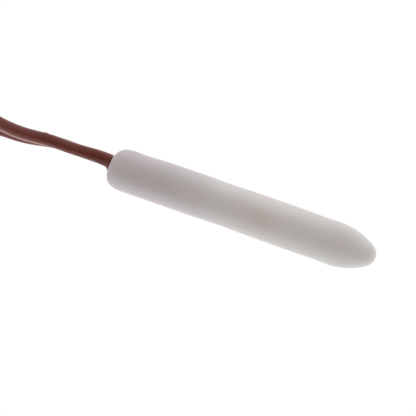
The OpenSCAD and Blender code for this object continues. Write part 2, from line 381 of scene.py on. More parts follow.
def tilt(points):
    """Leans the rear end over by a few degrees, fading out along the probe, and
    gives the outside the small unevenness of a cheap moulding: bowed by less
    than a tenth of a millimetre, slightly sunk in two places, and with a faint
    flat on the rear shoulder."""
    p = np.array(points, float)
    y, z = p[:, 1].copy(), p[:, 2] - AXIS_Z
    r = np.hypot(y, z)
    outside = smooth(2.05, 2.7, r)
    sideways = (0.795 * y + 0.606 * z) / np.maximum(r, 1e-6)
    p[:, 0] += REAR_TILT * (0.766 * y + 0.643 * z) * (1 - smooth(REAR_X, REAR_X + 6, p[:, 0]))
    x = p[:, 0]
    sunk = 0.066 * bell(x, -2.4, 1.8) + 0.038 * bell(x, 11.6, 1.5)
    sunk = sunk + 0.13 * bell(x, -15.4, 1.6) * np.clip(sideways, 0, 1) ** 2
    p[:, 1] -= outside * sunk * y / np.maximum(r, 1e-6)
    p[:, 2] -= outside * sunk * z / np.maximum(r, 1e-6)
    p[:, 1] += outside * 0.07 * smooth(REAR_X + 1, 0, x) * (1 - smooth(1, NOSE_X - 3, x))
    return p


def outer_profile():
    """x and radius of the outside, from the bore's rear edge to the nose's tip."""
    r0 = BORE_R + 0.03
    pts = []
    q0 = math.asin((r0 - (BODY_R - EDGE_RADIAL)) / EDGE_RADIAL)
    for q in np.linspace(q0, math.pi / 2, 26):
        pts.append((REAR_X + EDGE_AXIAL * (1 - math.cos(q)), BODY_R - EDGE_RADIAL + EDGE_RADIAL * math.sin(q)))
    nose_x = NOSE_X - NOSE_LEN
    for x in np.linspace(REAR_X + EDGE_AXIAL, nose_x, 48)[1:-1]:
        pts.append((x, BODY_R))
    # the nose: a long curve tangent to the side, then the tip's sphere
    off = NOSE_R - BODY_R
    reach = math.sqrt((NOSE_R - TIP_R) ** 2 - off**2)
    tip_c = NOSE_X - TIP_R
    start = tip_c - reach
    q_end = math.atan2(reach, off)
    for q in np.linspace(0, q_end, 34):
        pts.append((start + NOSE_R * math.sin(q), NOSE_R * math.cos(q) - off))
    for q in np.linspace(q_end, math.pi / 2, 20)[1:]:
        pts.append((tip_c + TIP_R * math.sin(q), TIP_R * math.cos(q)))
    return pts


def inner_profile():
    """x and radius of the bore, from its blind end back to its rear edge."""
    c = BORE_END - BORE_R
    pts = [(c + BORE_R * math.cos(q), BORE_R * math.sin(q)) for q in np.linspace(0, math.pi / 2, 16)]
    pts += [(x, BORE_R) for x in np.linspace(c, REAR_X + 0.10, 26)[1:]]
    edge = REAR_X + float(rear_depth(BORE_R + 0.03))
    pts += [(edge + 0.03, BORE_R + 0.004), (edge + 0.01, BORE_R + 0.014)]
    return pts


def revolved(name, profile, count, sharp_deg):
    """A closed shell from a profile that starts and ends on the axis."""
    points, faces, rings = [], [], []
    for x, r in profile:
        if r < 1e-6:
            rings.append([len(points)])
            points.append((x, 0.0, AXIS_Z))
        else:
            rings.append(list(range(len(points), len(points) + count)))
            for k in range(count):
                a = 2 * math.pi * k / count
                points.append((x, r * math.cos(a), AXIS_Z + r * math.sin(a)))
    for p, q in zip(rings[:-1], rings[1:], strict=True):
        for k in range(count):
            j = (k + 1) % count
            if len(p) == 1:
                faces.append((p[0], q[j], q[k]))
            elif len(q) == 1:
                faces.append((p[k], p[j], q[0]))
            else:
                faces.append((p[k], p[j], q[j], q[k]))
    return make_mesh(name, tilt(points), faces, sharp_deg=sharp_deg)


inner = inner_profile()
outer = outer_profile()
outer[-1] = (outer[-1][0], 0.0)
inner[0] = (inner[0][0], 0.0)
shell = revolved("housing_shell", inner + outer, 160, 50)

# the fill of the bore's mouth, level with the rear end; its resin is drawn up
# a little round each lead, more over lead A, and stands out under lead B
LEAD_CENTRES = [(-0.05, 4.02), (0.77, 2.46)]


def fill_limit():
    """A closed block whose rear face is level with the housing's rear end."""
    count, steps, points, faces = 144, 20, [], []
    radii = np.linspace(0, 2.25, steps + 1)[1:]
    points.append((REAR_X, 0.0, AXIS_Z))
    for r in radii:
        a = np.arange(count) * 2 * math.pi / count
        y, z = r * np.cos(a), AXIS_Z + r * np.sin(a)
        x = REAR_X + rear_depth(np.hypot(y, z - AXIS_Z))
        points += list(zip(x, y, z, strict=True))
    for k in range(count):
        faces.append((0, 1 + (k + 1) % count, 1 + k))
    for i in range(steps - 1):
        for k in range(count):
            a, b = 1 + i * count + k, 1 + i * count + (k + 1) % count
            faces.append((a, b, b + count, a + count))
    last = 1 + (steps - 1) * count
    front = len(points)
    points += [(NOSE_X - 1, 2.25 * math.cos(2 * math.pi * k / count), AXIS_Z + 2.25 * math.sin(2 * math.pi * k / count)) for k in range(count)]
    for k in range(count):
        faces.append((last + k, last + (k + 1) % count, front + (k + 1) % count, front + k))
    faces.append(tuple(front + k for k in range(count - 1, -1, -1)))
    return make_mesh("fill_limit", tilt(points), faces)


def free_way(centre, other, a):
    """How far it is from a lead's surface to the bore's wall or the other lead."""
    c = np.array([centre[0], centre[1] - AXIS_Z])
    d = np.array([math.cos(a), math.sin(a)])
    wall = -(c @ d) + math.sqrt((c @ d) ** 2 + BORE_R**2 - c @ c) - LEAD_R
    o = np.array([other[0] - centre[0], other[1] - centre[1]])
    under = (o @ d) ** 2 + LEAD_R**2 - o @ o
    if o @ d > 0 and under > 0:
        return min(wall, (o @ d) - math.sqrt(under) - LEAD_R)
    return wall


def meniscus(name, centre, other, line, turn, power, stand, edge_low, drawn, reach):
    """A ring of resin round a lead where it leaves the fill. stand is how far it
    stands out, and drawn how far its edge runs up the lead, both most on the
    side that turn points to; the edge falls off over the distance reach. The
    ring bends along with the lead's line."""
    count, points, faces = 144, [], []
    # the lead's centre by x, straight inside the bore
    near = line[line[:, 0] > REAR_X - 4][::-1]
    bend_x = np.append(near[:, 0], REAR_X + 3)
    bend_y = np.append(near[:, 1], near[-1, 1])
    bend_z = np.append(near[:, 2], near[-1, 2])
    gaps = np.concatenate([[0.0, 0.012, 0.03, 0.055, 0.085, 0.12, 0.17], np.linspace(0.24, 0.90, 12), [0.95, 0.985, 1.0]])
    rows = len(gaps) + 3
    for k in range(count):
        a = 2 * math.pi * k / count
        side = (0.5 + 0.5 * math.cos(a - math.radians(turn))) ** power
        way = free_way(centre, other, a) - 0.012
        w = max(0.012, min(way, 0.14 + 1.2 * side))
        # in the narrow places the resin stands lower
        low = min(1.0, w / 0.14)
        dome = (0.01 + stand * side) * low
        edge = (edge_low + drawn * side) * low
        d = np.array([math.cos(a), math.sin(a)])
        ring = [(-0.004, dome + edge)]
        ring += [(g * w, dome * math.sqrt(1 - g * g) + edge * math.exp(-g * w / reach) * (1 - g) ** (1 + 0.08 / reach) - 0.012 * g**8) for g in gaps]
        ring += [(w, -0.30), (-0.004, -0.30)]
        for g, h in ring:
            y, z = np.array(centre) + (LEAD_R + g) * d
            x = REAR_X + float(rear_depth(math.hypot(y, z - AXIS_Z))) - h
            y += float(np.interp(x, bend_x, bend_y)) - bend_y[-1]
            z += float(np.interp(x, bend_x, bend_z)) - bend_z[-1]
            points.append((x, y, z))
    for k in range(count):
        j = (k + 1) % count
        for i in range(rows):
            m = (i + 1) % rows
            faces.append((k * rows + i, j * rows + i, j * rows + m, k * rows + m))
    return make_mesh(name, tilt(points), faces)


def combined(mesh, tool, operation):
    """The mesh after an exact boolean with a closed tool."""
    obj = bpy.data.objects.new("in_work", mesh)
    scene.collection.objects.link(obj)
    step = obj.modifiers.new("step", "BOOLEAN")
    step.operation, step.object, step.solver = operation, tool, "EXACT"
    bpy.context.view_layer.update()
    done = bpy.data.meshes.new_from_object(obj.evaluated_get(bpy.context.evaluated_depsgraph_get()))
    bpy.data.objects.remove(obj)
    bpy.data.objects.remove(tool)
    return done


def made_fill():
    """The bore's fill with the cavities that hold the parts inside, its rear
    surface finished as above."""
    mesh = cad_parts["potting"].data.copy()
    bm = bmesh.new()
    bm.from_mesh(mesh)
    bmesh.ops.remove_doubles(bm, verts=bm.verts, dist=0.0000005)
    for v in bm.verts:
        if v.co.x < (REAR_X + 0.5) * MM:
            v.co.x -= 0.0020
    bmesh.ops.recalc_face_normals(bm, faces=bm.faces)
    bm.to_mesh(mesh)
    bm.free()
    done = combined(mesh, fill_limit(), "INTERSECT")
    done = combined(done, meniscus("round_a", LEAD_CENTRES[0], LEAD_CENTRES[1], full_a, 37, 3, 0.06, 0.02, 0.28, 0.08), "UNION")
    done = combined(done, meniscus("round_b", LEAD_CENTRES[1], LEAD_CENTRES[0], full_b, 217, 5, 0.49, 0.04, 0.84, 1.6), "UNION")
    # no slivers, and normals that lean to the larger faces
    bm = bmesh.new()
    bm.from_mesh(done)
    bmesh.ops.dissolve_degenerate(bm, edges=bm.edges, dist=0.000001)
    bm.to_mesh(done)
    bm.free()
    done.polygons.foreach_set("use_smooth", [True] * len(done.polygons))
    done.set_sharp_from_angle(angle=math.radians(35))
    rough = bpy.data.objects.new("in_work", done)
    scene.collection.objects.link(rough)
    lean = rough.modifiers.new("lean", "WEIGHTED_NORMAL")
    lean.keep_sharp = True
    bpy.context.view_layer.update()
    even = bpy.data.meshes.new_from_object(rough.evaluated_get(bpy.context.evaluated_depsgraph_get()))
    bpy.data.objects.remove(rough)
    obj = bpy.data.objects.new("potting_fill", even)
    scene.collection.objects.link(obj)
    return obj


fill = made_fill()

for piece, node, slot in ((shell, "housing", "shell_white"), (fill, "potting", "potting_resin")):
    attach(piece, "root")
    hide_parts(node)

# ------------------------------------------------------------------- the tie


def made_tie():
    """A flat strip with a wire in its middle, bound round the hank's waist, its
    two ends gathered and twisted together on top."""
    half_w, thick = 1.5, 0.42

    def section(width, ridge, thickness):
        """The strip's outline: offsets across (first) and outwards (second)."""
        w, h = width / 2, thickness / 2
        xs = np.linspace(-w, w, 25)
        top = h * (0.62 + 0.38 * np.sqrt(np.clip(1 - (xs / w) ** 8, 0, 1))) + ridge * np.exp(-0.5 * (xs / 0.22) ** 2)
        low = -h * (0.62 + 0.38 * np.sqrt(np.clip(1 - (xs / w) ** 8, 0, 1)))
        return np.vstack([np.stack([xs, top], 1), np.stack([xs[::-1], low[::-1]], 1)])

    r, y_in, z_low, z_top = 1.07, 3.45, 1.40, 6.45
    top_z = z_top + r
    loop = []
    # from the top's middle on the +Y side, down, under and up the other side
    for y in np.linspace(1.5, y_in, 12)[:-1]:
        loop.append((y, top_z))
    for a in np.linspace(90, 0, 16)[:-1]:
        loop.append((y_in + r * math.cos(math.radians(a)), z_top + r * math.sin(math.radians(a))))
    for z in np.linspace(z_top, z_low, 18)[:-1]:
        loop.append((y_in + r, z))
    for a in np.linspace(0, -90, 16)[:-1]:
        loop.append((y_in + r * math.cos(math.radians(a)), z_low + r * math.sin(math.radians(a))))
    for y in np.linspace(y_in, -y_in, 30)[:-1]:
        loop.append((y, z_low - r))
    for a in np.linspace(-90, -180, 16)[:-1]:
        loop.append((-y_in + r * math.cos(math.radians(a)), z_low + r * math.sin(math.radians(a))))
    for z in np.linspace(z_low, z_top, 18)[:-1]:
        loop.append((-y_in - r, z))
    for a in np.linspace(180, 90, 16)[:-1]:
        loop.append((-y_in + r * math.cos(math.radians(a)), z_top + r * math.sin(math.radians(a))))
    for y in np.linspace(-y_in, -1.5, 12):
        loop.append((y, top_z))
    loop = np.array(loop)
    path = np.stack([np.full(len(loop), MID_X), loop[:, 0], loop[:, 1]], axis=1)

    axis_z, twist_x0, twist_x1 = 7.86, MID_X + 1.5, MID_X + 5.5

    def gather(sign):
        """From the band's end on one side to the start of the twist."""
        p0 = np.array([MID_X, sign * 1.5, top_z])
        p1 = np.array([MID_X, sign * 0.45, top_z + 0.04])
        p2 = np.array([MID_X + 0.35, 0.0, axis_z + 0.03])
        p3 = np.array([twist_x0, 0.0, axis_z])
        t = np.linspace(0, 1, 16)[:, None]
        return (1 - t) ** 3 * p0 + 3 * (1 - t) ** 2 * t * p1 + 3 * (1 - t) * t**2 * p2 + t**3 * p3

    def ribbon(sign):
        """Centres, across and outward directions, widths of one gathered end."""
        g = gather(sign)
        tw = np.linspace(twist_x0, twist_x1, 61)[1:]
        line = np.vstack([g, np.stack([tw, np.zeros(60), np.full(60, axis_z)], axis=1)])
        line[:, 2] -= 0.10 * smooth(twist_x0 + 1, twist_x1, line[:, 0])
        s = arc_lengths(line)
        t = np.gradient(line, axis=0)
        t /= np.linalg.norm(t, axis=1)[:, None]
        up = np.array([0, 0, 1.0]) - t[:, 2:] * t
        up /= np.linalg.norm(up, axis=1)[:, None]
        across = np.cross(t, up)
        turn = 2 * math.pi * 3.1 * np.clip((s - s[15]) / (s[-1] - s[15]), 0, 1)
        start = s[15]
        width = 2 * half_w + (0.86 - 2 * half_w) * smooth(0, start * 0.85, s)
        thickness = thick + (0.30 - thick) * smooth(0, start, s)
        ridge = 0.11 - 0.05 * smooth(0, start, s)
        apart = 0.19 * smooth(start * 0.35, start, s) * (1 if sign > 0 else -1)
        out = np.cos(turn)[:, None] * up + np.sin(turn)[:, None] * across
        side = -np.sin(turn)[:, None] * up + np.cos(turn)[:, None] * across
        return line + out * apart[:, None], side, out, width, thickness, ridge

    t = np.gradient(path, axis=0)
    t /= np.linalg.norm(t, axis=1)[:, None]
    across = np.tile(np.array([1.0, 0, 0]), (len(path), 1))
    outward = np.cross(across, t)
    if (outward[len(path) // 2] @ np.array([0, 0, -1.0])) < 0:
        outward = -outward
    # end one reversed, so that the whole strip is one piece from tip to tip
    c1, s1, o1, w1, h1, r1 = ribbon(1)
    c2, s2, o2, w2, h2, r2 = ribbon(-1)
    rings = []
    order = [(c1[i], -s1[i], o1[i], w1[i], h1[i], r1[i]) for i in range(len(c1) - 1, 0, -1)]
    order += [(path[i], across[i], outward[i], 2 * half_w, thick, 0.11) for i in range(len(path))]
    order += [(c2[i], s2[i], o2[i], w2[i], h2[i], r2[i]) for i in range(1, len(c2))]
    # keep the across direction continuous from ring to ring
    last = None
    for c, a, o, w, h, rr in order:
        if last is not None and a @ last < 0:
            a = -a
        last = a
        sec = section(w, rr, h)
        rings.append(c + sec[:, :1] * a + sec[:, 1:] * o)
    n, count = len(rings[0]), len(rings)
    faces = [
        (i * n + k, i * n + (k + 1) % n, (i + 1) * n + (k + 1) % n, (i + 1) * n + k)
        for i in range(count - 1)
        for k in range(n)
    ]
    faces += [tuple(range(n - 1, -1, -1)), tuple((count - 1) * n + k for k in range(n))]
    obj = make_mesh("hank_tie_strip", np.vstack(rings), faces, sharp_deg=48)
    # all faces outwards
    bm = bmesh.new()
    bm.from_mesh(obj.data)
    bmesh.ops.recalc_face_normals(bm, faces=bm.faces)
    bm.to_mesh(obj.data)
    bm.free()
    return obj


tie = made_tie()
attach(tie, "root")
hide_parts("hank_tie")

# ----------------------------------------------------------------- materials


class Nodes:
    """A short way to write a material's nodes."""

    def __init__(self, name):
        self.mat = bpy.data.materials.new(name)
        self.mat.use_nodes = True
        self.tree = self.mat.node_tree
        self.tree.nodes.clear()
        self.out = self.tree.nodes.new("ShaderNodeOutputMaterial")
        self.bsdf = self.tree.nodes.new("ShaderNodeBsdfPrincipled")
        self.tree.links.new(self.bsdf.outputs["BSDF"], self.out.inputs["Surface"])

    def new(self, kind, **sockets):
        node = self.tree.nodes.new(kind)
        for key, value in sockets.items():
            self.put(node, key, value)
        return node

    def put(self, node, key, value):
        if isinstance(key, str) and hasattr(node, key) and key not in node.inputs:
            setattr(node, key, value)
            return
        socket = node.inputs[key]
        if isinstance(value, bpy.types.NodeSocket):
            self.tree.links.new(value, socket)
        else:
            socket.default_value = value

    def shader(self, **sockets):
        for key, value in sockets.items():
            self.put(self.bsdf, key.replace("_", " "), value)

    def place(self, scale=(1, 1, 1)):
        """Where a point of the piece is, stretched."""
        tc = self.new("ShaderNodeTexCoord")
        m = self.new("ShaderNodeMapping")
        self.tree.links.new(tc.outputs["Object"], m.inputs["Vector"])
        m.inputs["Scale"].default_value = scale
        return m.outputs["Vector"]

    def along(self, scale=(1, 1, 1)):
        """The place on a wire as if it lay straight."""
        a = self.new("ShaderNodeAttribute", attribute_name="rest")
        m = self.new("ShaderNodeMapping")
        self.tree.links.new(a.outputs["Vector"], m.inputs["Vector"])
        m.inputs["Scale"].default_value = scale
        return m.outputs["Vector"]

    def noise(self, vector, scale, detail=3.0, rough=0.5, distortion=0.0):
        n = self.new("ShaderNodeTexNoise")
        self.tree.links.new(vector, n.inputs["Vector"])
        n.inputs["Scale"].default_value = scale
        n.inputs["Detail"].default_value = detail
        n.inputs["Roughness"].default_value = rough
        n.inputs["Distortion"].default_value = distortion
        return n.outputs["Fac"]

    def cells(self, vector, scale, feature="F1"):
        n = self.new("ShaderNodeTexVoronoi")
        n.feature = feature
        self.tree.links.new(vector, n.inputs["Vector"])
        n.inputs["Scale"].default_value = scale
        return n.outputs["Distance"]

    def span(self, value, a, b, c, d, soft=False):
        n = self.new("ShaderNodeMapRange")
        n.interpolation_type = "SMOOTHSTEP" if soft else "LINEAR"
        n.clamp = True
        self.tree.links.new(value, n.inputs["Value"])
        for key, x in zip(("From Min", "From Max", "To Min", "To Max"), (a, b, c, d), strict=True):
            n.inputs[key].default_value = x
        return n.outputs["Result"]

    def mix(self, factor, a, b):
        n = self.new("ShaderNodeMix")
        n.data_type = "RGBA"
        for socket, x in ((n.inputs[0], factor), (n.inputs[6], a), (n.inputs[7], b)):
            if isinstance(x, bpy.types.NodeSocket):
                self.tree.links.new(x, socket)
            elif isinstance(x, tuple):
                socket.default_value = (*x, 1.0)
            else:
                socket.default_value = x
        return n.outputs[2]

    def ramp(self, value, stops):
        n = self.new("ShaderNodeValToRGB")
        self.tree.links.new(value, n.inputs["Fac"])
        e = n.color_ramp.elements
        while len(e) < len(stops):
            e.new(0.5)
        for el, (at, colour) in zip(e, stops, strict=True):
            el.position, el.color = at, (*colour, 1.0)
        n.color_ramp.interpolation = "B_SPLINE"
        return n.outputs["Color"]

    def math(self, kind, a, b=0.0):
        n = self.new("ShaderNodeMath")
        n.operation = kind
        for socket, x in ((n.inputs[0], a), (n.inputs[1], b)):
            if isinstance(x, bpy.types.NodeSocket):
                self.tree.links.new(x, socket)
            else:
                socket.default_value = x
        return n.outputs[0]

    def bump(self, height, distance, strength=1.0, normal=None):
        n = self.new("ShaderNodeBump")
        self.tree.links.new(height, n.inputs["Height"])
        n.inputs["Distance"].default_value = distance
        n.inputs["Strength"].default_value = strength
        if normal is not None:
            self.tree.links.new(normal, n.inputs["Normal"])
        return n.outputs["Normal"]


def white_shell():
    m = Nodes("shell_white")
    x = m.new("ShaderNodeSeparateXYZ")
    m.tree.links.new(m.place(), x.inputs[0])
    # the moulding is a little darker and pinker towards the leads
    length = m.span(x.outputs["X"], -0.0195, 0.0195, 0.0, 1.0)
    base = m.ramp(length, [
        (0.00, (0.725, 0.655, 0.660)), (0.22, (0.732, 0.670, 0.666)), (0.36, (0.796, 0.760, 0.742)),
        (0.43, (0.824, 0.806, 0.778)), (0.52, (0.842, 0.800, 0.770)), (0.62, (0.850, 0.782, 0.752)),
        (0.78, (0.845, 0.812, 0.780)), (1.00, (0.812, 0.793, 0.764)),
    ])
    cloud = m.noise(m.place((0.5, 1, 1)), 180, 2.0, 0.45)
    tint = m.mix(m.span(cloud, 0.36, 0.64, 0.0, 1.0, True), (0.985, 0.955, 0.955), (1.0, 1.0, 0.985))
    mul = m.new("ShaderNodeMix")
    mul.data_type, mul.blend_type = "RGBA", "MULTIPLY"
    mul.inputs[0].default_value = 1.0
    m.tree.links.new(base, mul.inputs[6])
    m.tree.links.new(tint, mul.inputs[7])
    # painted light: a little lighter along its upper side from the middle on;
    # near the leads painted shade across its middle and painted light along its lower side
    side = m.math("MULTIPLY", m.math("SUBTRACT", x.outputs["Z"], AXIS_Z * MM), 0.606)
    side = m.math("ADD", m.math("MULTIPLY", x.outputs["Y"], 0.795), side)
    front = m.math("MULTIPLY", m.span(side, 0.0009, 0.0019, 0.0, 0.055, True), m.span(x.outputs["X"], -0.0085, -0.0020, 0.0, 1.0, True))
    front = m.math("MULTIPLY", front, m.span(x.outputs["X"], 0.0080, 0.0140, 1.0, 0.25, True))
    front = m.math("MULTIPLY", front, m.span(side, 0.0025, 0.0028, 1.0, 0.1, True))
    # painted shade across the middle and painted light along the lower side, near the leads
    near = m.math("MAXIMUM", m.span(side, -0.0024, -0.0013, 0.045, -0.035, True), m.span(side, 0.0012, 0.0019, -0.035, 0.0, True))
    near = m.math("MULTIPLY", near, m.span(x.outputs["X"], -0.0100, -0.0060, 1.0, 0.0, True))
    near = m.math("MULTIPLY", near, m.span(x.outputs["X"], -0.0185, -0.0150, 0.4, 1.0, True))
    lift = m.new("ShaderNodeVectorMath")
    lift.operation = "SCALE"
    m.tree.links.new(mul.outputs[2], lift.inputs[0])
    m.tree.links.new(m.math("ADD", m.math("ADD", front, near), 1.0), lift.inputs["Scale"])
    # a faint warmer patch on the side, about the middle of its length
    across = m.math("SUBTRACT", 1.0, m.math("MULTIPLY", m.math("ABSOLUTE", m.math("SUBTRACT", side, -0.0003)), 600.0))
    middle = m.math("SUBTRACT", 1.0, m.math("MULTIPLY", m.math("ABSOLUTE", m.math("SUBTRACT", x.outputs["X"], 0.0038)), 330.0))
    patch = m.math("MULTIPLY", m.span(across, 0.0, 1.0, 0.0, 1.0, True), m.span(middle, 0.0, 1.0, 0.0, 1.0, True))
    patch = m.mix(patch, (1.0, 1.0, 1.0), (1.0, 0.945, 0.925))
    # cooler towards both sides, most near the leads
    cool = m.math("MULTIPLY", m.span(m.math("ABSOLUTE", side), 0.0006, 0.0022, 0.0, 1.0, True), m.span(x.outputs["X"], -0.0100, -0.0040, 1.0, 0.6, True))
    patch = m.mix(cool, patch, (1.006, 1.030, 1.068))
    warm = m.new("ShaderNodeMix")
    warm.data_type, warm.blend_type = "RGBA", "MULTIPLY"
    warm.inputs[0].default_value = 1.0
    m.tree.links.new(lift.outputs["Vector"], warm.inputs[6])
    m.tree.links.new(patch, warm.inputs[7])
    speck = m.noise(m.place(), 3200, 2.0, 0.6)
    colour = m.mix(m.span(speck, 0.60, 0.80, 0.0, 0.16), warm.outputs[2], (0.60, 0.54, 0.52))
    peel = m.noise(m.place(), 1900, 2.0, 0.5)
    wave = m.noise(m.place((0.6, 1, 1)), 260, 1.0, 0.4)
    n1 = m.bump(wave, 0.00008, 0.35)
    n2 = m.bump(peel, 0.00002, 0.30, n1)
    m.shader(Base_Color=colour, Roughness=m.span(cloud, 0.3, 0.7, 0.36, 0.46), Normal=n2)
    m.bsdf.inputs["IOR"].default_value = 1.5
    m.bsdf.inputs["Subsurface Weight"].default_value = 0.25
    m.bsdf.inputs["Subsurface Radius"].default_value = (1.0, 0.7, 0.6)
    m.bsdf.inputs["Subsurface Scale"].default_value = 0.0012
    return m.mat


def resin_fill():
    m = Nodes("potting_resin")
    cloud = m.noise(m.place(), 700, 3.0, 0.5)
    colour = m.mix(m.span(cloud, 0.35, 0.65, 0.0, 1.0, True), (0.66, 0.58, 0.57), (0.74, 0.66, 0.64))
    pits = m.cells(m.place(), 2600)
    dots = m.span(pits, 0.0, 0.22, 1.0, 0.0, True)
    colour = m.mix(m.math("MULTIPLY", dots, 0.14), colour, (0.45, 0.38, 0.36))
    # where the resin thins out along a lead the brown shows through it
    part = m.new("ShaderNodeSeparateXYZ")
    m.tree.links.new(m.place(), part.inputs[0])
    thin = m.span(part.outputs["X"], -0.0206, -0.0199, 1.0, 0.0, True)
    colour = m.mix(m.math("MULTIPLY", thin, 0.92), colour, (0.215, 0.055, 0.046))
    n1 = m.bump(cloud, 0.00006, 0.5)
    n2 = m.bump(pits, 0.00002, 0.25, n1)
    m.shader(Base_Color=colour, Roughness=m.span(cloud, 0.3, 0.7, 0.22, 0.34), Normal=n2)
    return m.mat


def brown_pvc(name, vector_of, near_exit=False):
    m = Nodes(name)
    streak = m.noise(vector_of(m, (1.0, 1.0, 0.05)), 2600, 3.0, 0.55)
    cloud = m.noise(vector_of(m, (1.0, 1.0, 0.35)), 420, 2.0, 0.5)
    grain = m.noise(vector_of(m, (1.0, 1.0, 1.0)), 5200, 2.0, 0.6)
    colour = m.mix(m.span(cloud, 0.32, 0.68, 0.0, 1.0, True), (0.165, 0.031, 0.019), (0.212, 0.048, 0.032))
    colour = m.mix(m.span(streak, 0.52, 0.75, 0.0, 0.22), colour, (0.26, 0.070, 0.052))
    n1 = m.bump(streak, 0.000008, 0.35)
    if near_exit:
        # painted shade near the probe: darker towards the probe on the ridge's side, which faced the
        # other lead, and darkest in a painted shadow in the seam where it enters; a few faint wrinkles there,
        # in relief, their crests painted lighter as a painted highlight; duller and greyer further away
        way = m.new("ShaderNodeSeparateXYZ")
        m.tree.links.new(m.along(), way.inputs[0])
        s = way.outputs["Z"]
        # painted shade: lighter and greyer from 6 mm out, so darker towards the probe
        colour = m.mix(m.span(s, 0.006, 0.018, 0.0, 0.60, True), colour, (0.250, 0.075, 0.061))
        # painted shade near the probe on the side towards the other lead
        dark = m.math("MULTIPLY", m.span(s, 0.0008, 0.0065, 0.42, 0.0, True), m.span(s, 0.0003, 0.0012, 0.25, 1.0, True))
        dark = m.math("MULTIPLY", dark, m.span(way.outputs["X"], -0.0008, 0.0004, 0.0, 1.2, True))
        colour = m.mix(dark, colour, (0.085, 0.012, 0.006))
        # painted shadow in the seam where the lead enters
        seam = m.span(s, 0.00012, 0.00030, 0.60, 0.0, True)
        seam = m.math("MULTIPLY", seam, m.span(way.outputs["X"], 0.00025, 0.00075, 1.0, 0.35, True))
        colour = m.mix(seam, colour, (0.022, 0.010, 0.008))
        ring = m.math("SINE", m.math("MULTIPLY", s, 2 * math.pi / 0.00042))
        m2 = m.math("MULTIPLY", ring, m.span(s, 0.0003, 0.0017, 1.0, 0.0, True))
        n1 = m.bump(m2, 0.000018, 0.8, n1)
        # the wrinkles' crests painted lighter: a painted highlight on the relief
        colour = m.mix(m.span(m2, 0.0, 1.0, 0.0, 0.30), colour, (0.33, 0.13, 0.12))
        # where they enter the leads carry a painted shadow underneath, darker and duller (less
        # specular), and painted light on top
        spot = m.new("ShaderNodeSeparateXYZ")
        m.tree.links.new(m.place(), spot.inputs[0])
        height = m.math("MULTIPLY", m.math("SUBTRACT", spot.outputs["Z"], 0.003), 0.606)
        height = m.math("ADD", m.math("MULTIPLY", spot.outputs["Y"], 0.795), height)
        under = m.math("MULTIPLY", m.span(height, -0.00020, 0.00014, 1.0, 0.0, True), m.span(spot.outputs["X"], -0.0240, -0.0210, 0.0, 1.0, True))
        colour = m.mix(m.math("MULTIPLY", under, 0.12), colour, (0.085, 0.012, 0.006))
        over = m.math("MULTIPLY", m.span(height, 0.00095, 0.00125, 0.0, 0.50, True), m.span(spot.outputs["X"], -0.0230, -0.0204, 0.0, 1.0, True))
        colour = m.mix(over, colour, (0.36, 0.13, 0.115))
        gloss = m.span(under, 0.0, 1.0, 0.30, 0.03)
        # a pale line painted along the torn ridge: a painted highlight, strongest along the first free stretch
        ragged = m.noise(m.along((1.0, 1.0, 0.6)), 5200, 3.0, 0.6)
        off = m.math("ADD", m.math("ABSOLUTE", way.outputs["Y"]), m.math("MULTIPLY", m.math("SUBTRACT", ragged, 0.5), 0.00005))
        pale = m.math("MULTIPLY", m.span(off, 0.000075, 0.00014, 1.0, 0.0, True), m.math("GREATER_THAN", way.outputs["X"], 0.0))
        pale = m.math("MULTIPLY", pale, m.span(s, TORN_FROM * MM, (TORN_FROM + 3.5) * MM, 0.0, 1.0, True))
        pale = m.math("MULTIPLY", pale, m.span(s, 0.022, 0.034, 1.0, 0.25, True))
        colour = m.mix(pale, colour, (0.94, 0.62, 0.56))
    n2 = m.bump(grain, 0.000007, 0.35, n1)
    m.shader(Base_Color=colour, Roughness=m.span(cloud, 0.3, 0.7, 0.23, 0.32), Normal=n2)
    m.bsdf.inputs["IOR"].default_value = 1.5
    m.bsdf.inputs["Specular IOR Level"].default_value = 0.30
    if near_exit:
        m.shader(Specular_IOR_Level=gloss)
    return m.mat


def metal(name, light, dark, rough, vector_of=None, fine=4200, pull=(1, 1, 1)):
    m = Nodes(name)
    at = vector_of(m, pull) if vector_of else m.place(pull)
    n = m.noise(at, fine, 3.0, 0.6)
    broad = m.noise(at, fine * 0.22, 2.0, 0.5)
    colour = m.mix(m.span(broad, 0.35, 0.68, 0.0, 1.0, True), light, dark)
    m.shader(Base_Color=colour, Roughness=m.span(n, 0.3, 0.7, rough - 0.06, rough + 0.10), Normal=m.bump(n, 0.000012, 0.5))
    m.bsdf.inputs["Metallic"].default_value = 1.0
    return m.mat


def ceramic():
    m = Nodes("chip_ceramic")
    grain = m.cells(m.place(), 24000)
    cloud = m.noise(m.place(), 6000, 3.0, 0.6)
    colour = m.mix(m.span(grain, 0.05, 0.75, 0.0, 1.0), (0.050, 0.048, 0.046), (0.095, 0.090, 0.086))
    m.shader(Base_Color=colour, Roughness=m.span(cloud, 0.3, 0.7, 0.5, 0.7), Normal=m.bump(grain, 0.000008, 0.6))
    return m.mat


def black_resin():
    m = Nodes("bead_resin")
    cloud = m.noise(m.place(), 2400, 3.0, 0.5)
    flow = m.noise(m.place((1, 1, 0.4)), 900, 1.0, 0.5)
    colour = m.mix(m.span(cloud, 0.35, 0.65, 0.0, 1.0), (0.010, 0.010, 0.011), (0.026, 0.025, 0.026))
    m.shader(Base_Color=colour, Roughness=m.span(cloud, 0.3, 0.7, 0.16, 0.28), Normal=m.bump(flow, 0.00005, 0.5))
    return m.mat


def black_sleeve():
    m = Nodes("sleeve_black")
    wrinkle = m.noise(m.place((0.25, 1, 1)), 3400, 3.0, 0.55, 0.6)
    colour = m.mix(m.span(wrinkle, 0.4, 0.7, 0.0, 1.0), (0.016, 0.016, 0.017), (0.040, 0.039, 0.040))
    m.shader(Base_Color=colour, Roughness=m.span(wrinkle, 0.3, 0.7, 0.42, 0.58), Normal=m.bump(wrinkle, 0.00003, 0.5))
    return m.mat


